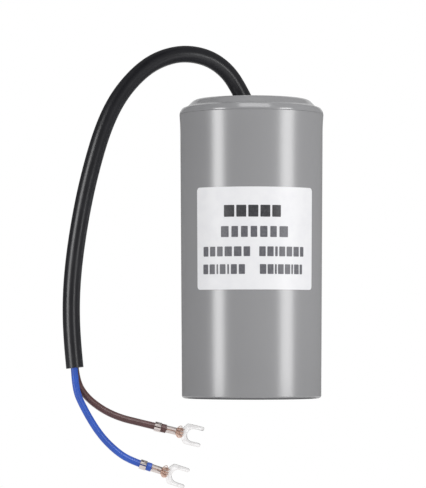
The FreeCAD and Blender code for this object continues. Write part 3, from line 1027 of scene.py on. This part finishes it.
tinned = finish_material(
    "tinned_sheet", (srgb(249, 248, 248), srgb(238, 236, 236)), (0.18, 0.28),
    (EVEN, 900, 0.35, 0.7), (EVEN, 4200, 0.3, 0.7), (0.1, 0.00002), metallic=1.0,
)
# The attribute's tone is bare brass and rubbed tin, and also painted reflection on edges and wings.
brass_and_painted_reflection = tinned.node_tree.nodes.new("ShaderNodeAttribute")
brass_and_painted_reflection.attribute_name = "brass_and_painted_reflection"
tint_over(tinned, brass_and_painted_reflection.outputs["Fac"], srgb(172, 138, 122))
copper = finish_material(
    "copper_wire", (srgb(246, 220, 206), srgb(214, 176, 158)), (0.30, 0.45),
    (EVEN, 1600, 0.35, 0.65), (EVEN, 5200, 0.3, 0.7), (0.1, 0.00001), metallic=1.0,
)
print("finishes:", tinned.name, copper.name)

# %% [markdown]
# Nothing inside the can shows in a whole capacitor, but each part has its own finish for whoever
# opens the model: dark cast resin, a pale plastic tube, a yellowish wrap, rough sprayed zinc and
# bright solder. A low third value in the stretch draws the clouds out along the roll, as creases.

# %% Finish the inside
resin = finish_material(
    "cast_resin", (srgb(58, 54, 50), srgb(44, 41, 38)), (0.12, 0.3),
    (EVEN, 120, 0.4, 0.6), (EVEN, 700, 0.45, 0.75), (0.2, 0.0001),
)
tube_plastic = finish_material(
    "tube_plastic", (srgb(222, 220, 212), srgb(210, 207, 198)), (0.35, 0.5),
    (EVEN, 200, 0.35, 0.65), ((1, 1, 0.1), 900, 0.3, 0.7), (0.15, 0.00004),
)
wrap_film = finish_material(
    "wrap_film", (srgb(206, 186, 120), srgb(188, 166, 98)), (0.14, 0.3),
    ((1, 1, 0.1), 220, 0.35, 0.65), ((1, 1, 0.05), 900, 0.3, 0.7), (0.25, 0.0001),
)
zinc_spray = finish_material(
    "zinc_spray", (srgb(168, 170, 172), srgb(128, 130, 132)), (0.55, 0.8),
    (EVEN, 900, 0.35, 0.65), (EVEN, 2200, 0.3, 0.7), (0.6, 0.0002), metallic=0.8,
)
solder = finish_material(
    "solder", (srgb(206, 208, 210), srgb(170, 172, 176)), (0.18, 0.38),
    (EVEN, 700, 0.35, 0.65), (EVEN, 1400, 0.35, 0.7), (0.3, 0.0001), metallic=1.0,
)
print("finishes:", [finish.name for finish in (resin, tube_plastic, wrap_film, zinc_spray, solder)])

# %% [markdown]
# The winding is metallised film rolled hundreds of times round its tube. From its ends it shows
# fine rings, and from the side a bright, slightly rippled sheet. Modelling the turns would take
# millions of faces, so a second node group gives the rings as a mask, laid over the film's colour.

# %% Make the wound film
RING_SCALE = 900


def ring_group():
    """Fine rings about the Z axis, as the edges of wound film show."""
    tree, given, made = new_group("wound_rings", [("Scale", "NodeSocketFloat", 1000.0)])
    where = tree.nodes.new("ShaderNodeTexCoord")
    wave = tree.nodes.new("ShaderNodeTexWave")
    wave.wave_type = "RINGS"
    wave.rings_direction = "Z"
    wave.inputs["Distortion"].default_value = 1.5
    link = tree.links.new
    link(where.outputs["Object"], wave.inputs["Vector"])
    link(given.outputs["Scale"], wave.inputs["Scale"])
    link(wave.outputs["Fac"], made.inputs["Mask"])
    return tree


film = finish_material(
    "metallised_film", (srgb(196, 198, 204), srgb(160, 163, 172)), (0.15, 0.32),
    ((1, 1, 0.08), 260, 0.35, 0.65), ((1, 1, 0.04), 800, 0.3, 0.7), (0.3, 0.0001), metallic=0.9,
)
rings = film.node_tree.nodes.new("ShaderNodeGroup")
rings.node_tree = ring_group()
rings.inputs["Scale"].default_value = RING_SCALE
tint_over(film, rings.outputs["Mask"], srgb(120, 124, 134))
print("node groups:", [group.name for group in bpy.data.node_groups])

# %% [markdown]
# Each new piece and each CAD node gets its finish, the hidden nodes too, so that none is left plain
# whichever of them is shown. The print has two inks in two slots: the dark one for the faces above
# the gap under the first row, and the light one for the rest.

# %% Assign the finishes
FINISHES = [
    (case_grey, [can, "case"]),
    (lid_grey, [lid, "lid"]),
    (paper, [label, "label"]),
    (ink, [marks, "label_print"]),
    (sheath_black, [sheath, "cable_sheath"]),
    (blue_vinyl, [blue_core, "blue_core", "blue_inner_lead"]),
    (brown_vinyl, [brown_core, "brown_core", "brown_inner_lead"]),
    (tinned, [blue_fork, brown_fork, "blue_terminal", "brown_terminal"]),
    (copper, [blue_brush, brown_brush, "blue_strands", "brown_strands"]),
    (copper, ["blue_inner_strands", "brown_inner_strands"]),
    (resin, ["potting_resin"]),
    (film, ["film_winding"]),
    (tube_plastic, ["core_tube"]),
    (wrap_film, ["outer_wrap"]),
    (zinc_spray, ["end_spray_bottom", "end_spray_top"]),
    (solder, ["solder_top", "solder_bottom"]),
]
for finish, wearers in FINISHES:
    for wearer in wearers:
        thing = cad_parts[wearer] if isinstance(wearer, str) else wearer
        thing.data.materials.clear()
        thing.data.materials.append(finish)

marks.data.materials.append(ink_light)
below_first_row = (LABEL_LOW + (PRINT_ROWS[0][0] + PRINT_ROWS[1][0]) / 2) * MM
for face in marks.data.polygons:
    face.material_index = 0 if face.center.z > below_first_row else 1
bare_nodes = [name for name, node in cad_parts.items() if not node.data.materials]
print("materials:", len(bpy.data.materials), "nodes without a finish:", bare_nodes)

# %% [markdown]
# A product photographer gives each surface a lamp of its own and shades the others from it. Here
# each lamp is a soft rectangle that lights only the pieces it is meant for. Most of them are there
# for the gloss alone and add nothing to the colour, so the colours stay as they are written. A
# lamp's level is its brightness whatever its size, so its energy grows with its area.

# %% Set up the lamps
ENERGY_PER_AREA = 4


def soft_light(name, place, aim, size, level):
    """A soft rectangular light at a place, facing a point."""
    facing = (Vector(aim) - Vector(place)).to_track_quat("-Z", "Y").to_euler()
    bpy.ops.object.light_add(type="AREA", location=place, rotation=facing)
    light = bpy.context.object
    light.name = name
    light.data.shape = "RECTANGLE"
    light.data.size, light.data.size_y = size
    light.data.energy = level * ENERGY_PER_AREA * size[0] * size[1]
    light.visible_camera = False
    return light


def only_on(light, pieces):
    """Lets a light reach only these pieces."""
    group = bpy.data.collections.new(light.name + "_on")
    for piece in pieces:
        group.objects.link(piece)
    light.light_linking.receiver_collection = group


def gloss_light(name, place, aim, size, level, pieces):
    """A soft light that only shows as a reflection, and only on these pieces."""
    light = soft_light(name, place, aim, size, level)
    light.visible_diffuse = False
    only_on(light, pieces)
    print(name, "level:", level, "pieces:", len(pieces))


def around(azimuth, distance, height):
    """A place at an azimuth from the front in degrees."""
    angle = math.radians(azimuth)
    return (math.sin(angle) * distance, -math.cos(angle) * distance, height)


terminals = [blue_fork, brown_fork, blue_brush, brown_brush]
meshes = [piece for piece in scene.objects if piece.type == "MESH"]
on_can = [piece for piece in meshes if piece != sheath and piece not in terminals]
below_lid = [piece for piece in on_can if piece != lid]
beside_cores = [piece for piece in below_lid if piece not in (blue_core, brown_core)]
print("pieces under the can's lamps:", len(on_can))

# %% [markdown]
# Two tall strips stand left and right of the camera and draw the two long highlights on the can.
# Seen from other sides, they would glare on the lid's rounded edges, so the lid has two shorter
# ones of its own, higher up. The right strip leaves out the two cores, which hang in the can's
# shade on that side. A faint card behind gives the far side a sheen.

# %% Light the can and the lid
STRIP_AWAY = 0.9
STRIP_HEIGHT = 0.10
STRIP_AIM = (0, 0, STRIP_HEIGHT)
STRIP_TALL = 0.52
LID_STRIP_HEIGHT = 0.51
LID_STRIP_TALL = 0.24
LID_AIM = (0, 0, 0.08)
LEFT_AZIMUTH = -55.5
LEFT_WIDE = 0.29
LEFT_LEVEL = 4.1
RIGHT_AZIMUTH = 58
RIGHT_WIDE = 0.36
RIGHT_LEVEL = 3.6
CARD_HEIGHT = 0.72

gloss_light(
    "left_strip", around(LEFT_AZIMUTH, STRIP_AWAY, STRIP_HEIGHT), STRIP_AIM,
    (LEFT_WIDE, STRIP_TALL), LEFT_LEVEL, below_lid,
)
gloss_light(
    "right_strip", around(RIGHT_AZIMUTH, STRIP_AWAY, STRIP_HEIGHT), STRIP_AIM,
    (RIGHT_WIDE, STRIP_TALL), RIGHT_LEVEL, beside_cores,
)
gloss_light(
    "left_top", around(LEFT_AZIMUTH, STRIP_AWAY, LID_STRIP_HEIGHT), LID_AIM,
    (LEFT_WIDE, LID_STRIP_TALL), LEFT_LEVEL, [lid],
)
gloss_light(
    "right_top", around(RIGHT_AZIMUTH, STRIP_AWAY, LID_STRIP_HEIGHT), LID_AIM,
    (RIGHT_WIDE, LID_STRIP_TALL), RIGHT_LEVEL, [lid],
)
gloss_light(
    "back_card", around(180, 1.2, CARD_HEIGHT), (0, 0, CARD_HEIGHT), (1.8, 0.9), 0.35, on_can,
)

# %% [markdown]
# One broad key light from the front right lights everything. It gives the slow shading from side to
# side, and it is the only lamp that isn't seen in the gloss.

# %% Light everything from the front right
key_light = soft_light("key_light", around(50, 1.4, 0.6), (0, 0, 0.03), (0.9, 0.9), 0.8)
key_light.visible_glossy = False
print("key light at:", [round(c, 2) for c in key_light.location])

# %% [markdown]
# Black plastic is seen by its highlights alone. A tall strip on the left draws the long one down
# the sheath, and a small card on the right the one on the arch. A dim low card gives the lower end
# a faint sheen. The two cores have one small card, above and in front, for a soft line each.

# %% Light the cable
gloss_light("cable_strip", around(-48, 1.0, 0.35), (0, 0, 0.05), (0.42, 1.0), 5.2, [sheath])
gloss_light("arch_card", around(35, 1.0, 0.1), (0, 0, 0.1), (0.22, 0.30), 4.5, [sheath])
gloss_light("low_card", around(-12, 1.0, -0.25), (-0.05, 0, 0), (0.45, 0.4), 0.35, [sheath])
gloss_light(
    "core_card", (0.12, -0.75, 0.42), (-0.05, -0.03, -0.02), (0.34, 0.34), 5.0,
    [blue_core, brown_core],
)

# %% [markdown]
# Bright metal shows only what stands round it. In a dark room the terminals would be black, so a
# wide card in front fills the flat forks with pale grey, and one above gives the crimps their
# bright lines.

# %% Light the terminals
gloss_light("fork_card", (-0.06, -0.9, 0.0), (-0.06, 0, 0.0), (1.0, 0.9), 0.52, terminals)
gloss_light("fork_top", (-0.06, -0.5, 0.7), (-0.06, 0, -0.03), (0.8, 0.5), 0.8, terminals)

# %% [markdown]
# Some of the studio isn't lamps but surfaces: a lit cloth, dark walls. They are meshes that glow,
# and they have to show in the gloss without lighting or shading anything. Two helpers do that.

# %% Make parts of the studio
def glowing_material(name):
    """A material that only glows. Returns it with its glow."""
    material = bpy.data.materials.new(name)
    material.use_nodes = True
    nodes = material.node_tree.nodes
    nodes.remove(nodes["Principled BSDF"])
    glow = nodes.new("ShaderNodeEmission")
    surface = nodes["Material Output"].inputs["Surface"]
    material.node_tree.links.new(glow.outputs[0], surface)
    return material, glow


def show_in_gloss_only(backdrop):
    """Makes a thing part of the studio that nothing but gloss can see."""
    backdrop.visible_camera = False
    backdrop.visible_diffuse = False
    backdrop.visible_shadow = False
    backdrop.visible_transmission = False


print("helpers ready:", [helper.__name__ for helper in (glowing_material, show_in_gloss_only)])

# %% [markdown]
# The broad bright patch on top of the lid mirrors a softbox overhead. An area light is always a
# rectangle, but this patch is wide at the front and narrow at the back, so the softbox is a mesh.
# Its front edge is widened and its back edge narrowed, each with a shift to one side.

# %% Hang the softbox
SOFTBOX_PLACE = (0.085, -0.575, 1.08)
SOFTBOX_SIZE = (0.80, 1.15)
SOFTBOX_SHIFT = 0.04
FRONT_WIDER = 1.46
BACK_NARROWER = 0.55
SOFTBOX_LEVEL = 2.2

bpy.ops.object.select_all(action="DESELECT")
bpy.ops.mesh.primitive_plane_add(size=1, location=SOFTBOX_PLACE)
softbox = bpy.context.object
softbox.name = "softbox"
bpy.ops.object.mode_set(mode="EDIT")
bpy.ops.transform.resize(value=(*SOFTBOX_SIZE, 1))
bpy.ops.object.mode_set(mode="OBJECT")
edit_only(softbox, "VERT", lambda vertex: vertex.co.y < 0)
bpy.ops.transform.resize(value=(FRONT_WIDER, 1, 1))
bpy.ops.transform.translate(value=(SOFTBOX_SHIFT, 0, 0))
bpy.ops.mesh.select_all(action="INVERT")
bpy.ops.transform.resize(value=(BACK_NARROWER, 1, 1))
bpy.ops.transform.translate(value=(-SOFTBOX_SHIFT, 0, 0))
bpy.ops.object.mode_set(mode="OBJECT")
softbox_cloth, softbox_glow = glowing_material("softbox_cloth")
softbox_glow.inputs["Strength"].default_value = SOFTBOX_LEVEL
softbox.data.materials.append(softbox_cloth)
show_in_gloss_only(softbox)
only_on(softbox, on_can)
print("softbox size m:", [round(d, 2) for d in softbox.dimensions])

# %% [markdown]
# Past the lamps, a real studio is dark. Dark grey walls with a ceiling stand round the set, which
# only gloss can see: they keep the black cable black and the can's edges quiet. They are a little
# lighter on the right, and they stand open on the white floor, which low gloss still mirrors.

# %% Stand the studio's walls
WALLS_RADIUS = 1.3
WALLS_HEIGHT = 1.46
WALLS_MIDDLE = 0.57
DARK_LEFT = 0.12
DARK_RIGHT = 0.30

bpy.ops.object.select_all(action="DESELECT")
bpy.ops.mesh.primitive_cylinder_add(
    vertices=64, radius=WALLS_RADIUS, depth=WALLS_HEIGHT, end_fill_type="NGON",
    location=(0, 0, WALLS_MIDDLE),
)
walls = bpy.context.object
walls.name = "studio_walls"
edit_only(walls, "FACE", lambda face: face.normal.z < -0.5)
bpy.ops.mesh.delete(type="FACE")
bpy.ops.object.mode_set(mode="OBJECT")
walls_paint, walls_glow = glowing_material("studio_wall")
wall_nodes = walls_paint.node_tree.nodes
wall_link = walls_paint.node_tree.links.new
wall_where = wall_nodes.new("ShaderNodeTexCoord")
wall_axes = wall_nodes.new("ShaderNodeSeparateXYZ")
wall_level = wall_nodes.new("ShaderNodeMapRange")
wall_level.inputs["From Min"].default_value = -WALLS_RADIUS
wall_level.inputs["From Max"].default_value = WALLS_RADIUS
wall_level.inputs["To Min"].default_value = DARK_LEFT
wall_level.inputs["To Max"].default_value = DARK_RIGHT
wall_link(wall_where.outputs["Object"], wall_axes.inputs[0])
wall_link(wall_axes.outputs["X"], wall_level.inputs["Value"])
wall_link(wall_level.outputs["Result"], walls_glow.inputs["Strength"])
walls.data.materials.append(walls_paint)
show_in_gloss_only(walls)
print("wall faces:", len(walls.data.polygons))

# %% [markdown]
# The white floor would light up the can's rounded bottom edge, which is dark on the real one. A
# photographer slips something dark under the can for that. A dark disc just below the base does the
# same here. The camera doesn't see it, and it casts no shadow.

# %% Set the dark stand
STAND_RADIUS = 0.04
STAND_Z = -0.032
STAND_TONE = (0.02, 0.02, 0.02, 1)

bpy.ops.object.select_all(action="DESELECT")
bpy.ops.mesh.primitive_circle_add(
    vertices=48, radius=STAND_RADIUS, fill_type="NGON", location=(0, 0, STAND_Z),
)
stand = bpy.context.object
stand.name = "dark_stand"
stand.visible_camera = False
stand.visible_shadow = False
stand_felt = bpy.data.materials.new("dark_stand")
stand_felt.use_nodes = True
stand_felt.node_tree.nodes["Principled BSDF"].inputs["Base Color"].default_value = STAND_TONE
stand.data.materials.append(stand_felt)
print("stand below the base by mm:", round(BASE_Z - STAND_Z / MM, 1))

# %% [markdown]
# The world behind it all is white to the eye, to gloss and to glass, and a plain soft fill to
# everything else. Light Path tells the two apart, so the white background takes no extra light.

# %% Fill from the world
FILL = 0.93


def any_ray(nodes, link, kinds):
    """A value that is 1 for any of these kinds of ray, and 0 for the rest."""
    rays = nodes.new("ShaderNodeLightPath")
    found = rays.outputs[kinds[0]]
    for kind in kinds[1:]:
        either = nodes.new("ShaderNodeMath")
        either.operation = "MAXIMUM"
        link(found, either.inputs[0])
        link(rays.outputs[kind], either.inputs[1])
        found = either.outputs[0]
    return found


world = bpy.data.worlds.new("studio")
scene.world = world
world.use_nodes = True
world_nodes = world.node_tree.nodes
world_link = world.node_tree.links.new
backdrop_light = world_nodes["Background"]
backdrop_light.inputs["Color"].default_value = (1, 1, 1, 1)
white_rays = any_ray(
    world_nodes, world_link, ["Is Camera Ray", "Is Glossy Ray", "Is Transmission Ray"],
)
world_level = world_nodes.new("ShaderNodeMapRange")
world_level.inputs["To Min"].default_value = FILL
world_level.inputs["To Max"].default_value = 1.0
world_link(white_rays, world_level.inputs["Value"])
world_link(world_level.outputs["Result"], backdrop_light.inputs["Strength"])
print("fill from the world:", FILL)

# %% [markdown]
# The floor has to be white in the picture and still keep the object's shadow. A plain matt floor
# would be grey, and a glowing one would lose the shadow. So it is a mix: a matt floor that takes
# the shadow, and a white glow that only camera and gloss see. The glow's share grows from the
# middle outwards, to where no shadow falls.

# %% Mix the floor's white
FLOOR_TONE = (0.9, 0.9, 0.9, 1)
SHADOW_REACH = (0.12, 0.45)
GLOW_SHARE = (0.72, 1.0)

pale_floor = bpy.data.materials.new("pale_floor")
pale_floor.use_nodes = True
floor_nodes = pale_floor.node_tree.nodes
floor_link = pale_floor.node_tree.links.new
matt = floor_nodes["Principled BSDF"]
matt.inputs["Base Color"].default_value = FLOOR_TONE
matt.inputs["Roughness"].default_value = 0.9
glow = floor_nodes.new("ShaderNodeEmission")
floor_mix = floor_nodes.new("ShaderNodeMixShader")
floor_where = floor_nodes.new("ShaderNodeTexCoord")
from_middle = floor_nodes.new("ShaderNodeVectorMath")
from_middle.operation = "LENGTH"
fade = floor_nodes.new("ShaderNodeMapRange")
fade.interpolation_type = "SMOOTHSTEP"
fade.inputs["From Min"].default_value = SHADOW_REACH[0]
fade.inputs["From Max"].default_value = SHADOW_REACH[1]
fade.inputs["To Min"].default_value = GLOW_SHARE[0]
fade.inputs["To Max"].default_value = GLOW_SHARE[1]
share = floor_nodes.new("ShaderNodeMath")
share.operation = "MULTIPLY"
floor_link(floor_where.outputs["Object"], from_middle.inputs[0])
floor_link(from_middle.outputs["Value"], fade.inputs["Value"])
floor_link(any_ray(floor_nodes, floor_link, ["Is Camera Ray", "Is Glossy Ray"]), share.inputs[0])
floor_link(fade.outputs["Result"], share.inputs[1])
floor_link(share.outputs[0], floor_mix.inputs["Fac"])
floor_link(matt.outputs[0], floor_mix.inputs[1])
floor_link(glow.outputs[0], floor_mix.inputs[2])
floor_link(floor_mix.outputs[0], floor_nodes["Material Output"].inputs["Surface"])
print("floor material:", pale_floor.name, "nodes:", len(floor_nodes))

# %% [markdown]
# One large plane is enough for a floor that is plain to the horizon. It lies well under the lowest
# terminal, so the shadow on it stays soft. The view transform is the plain one, which shows colours
# as they are written.

# %% Lay the floor
FLOOR_Z = -0.16
FLOOR_SIZE = 12

bpy.ops.object.select_all(action="DESELECT")
bpy.ops.mesh.primitive_plane_add(size=FLOOR_SIZE, location=(0, 0, FLOOR_Z))
floor = bpy.context.object
floor.name = "floor"
floor.data.materials.append(pale_floor)
scene.view_settings.view_transform = "Standard"
print("floor at m:", FLOOR_Z, "size m:", FLOOR_SIZE)
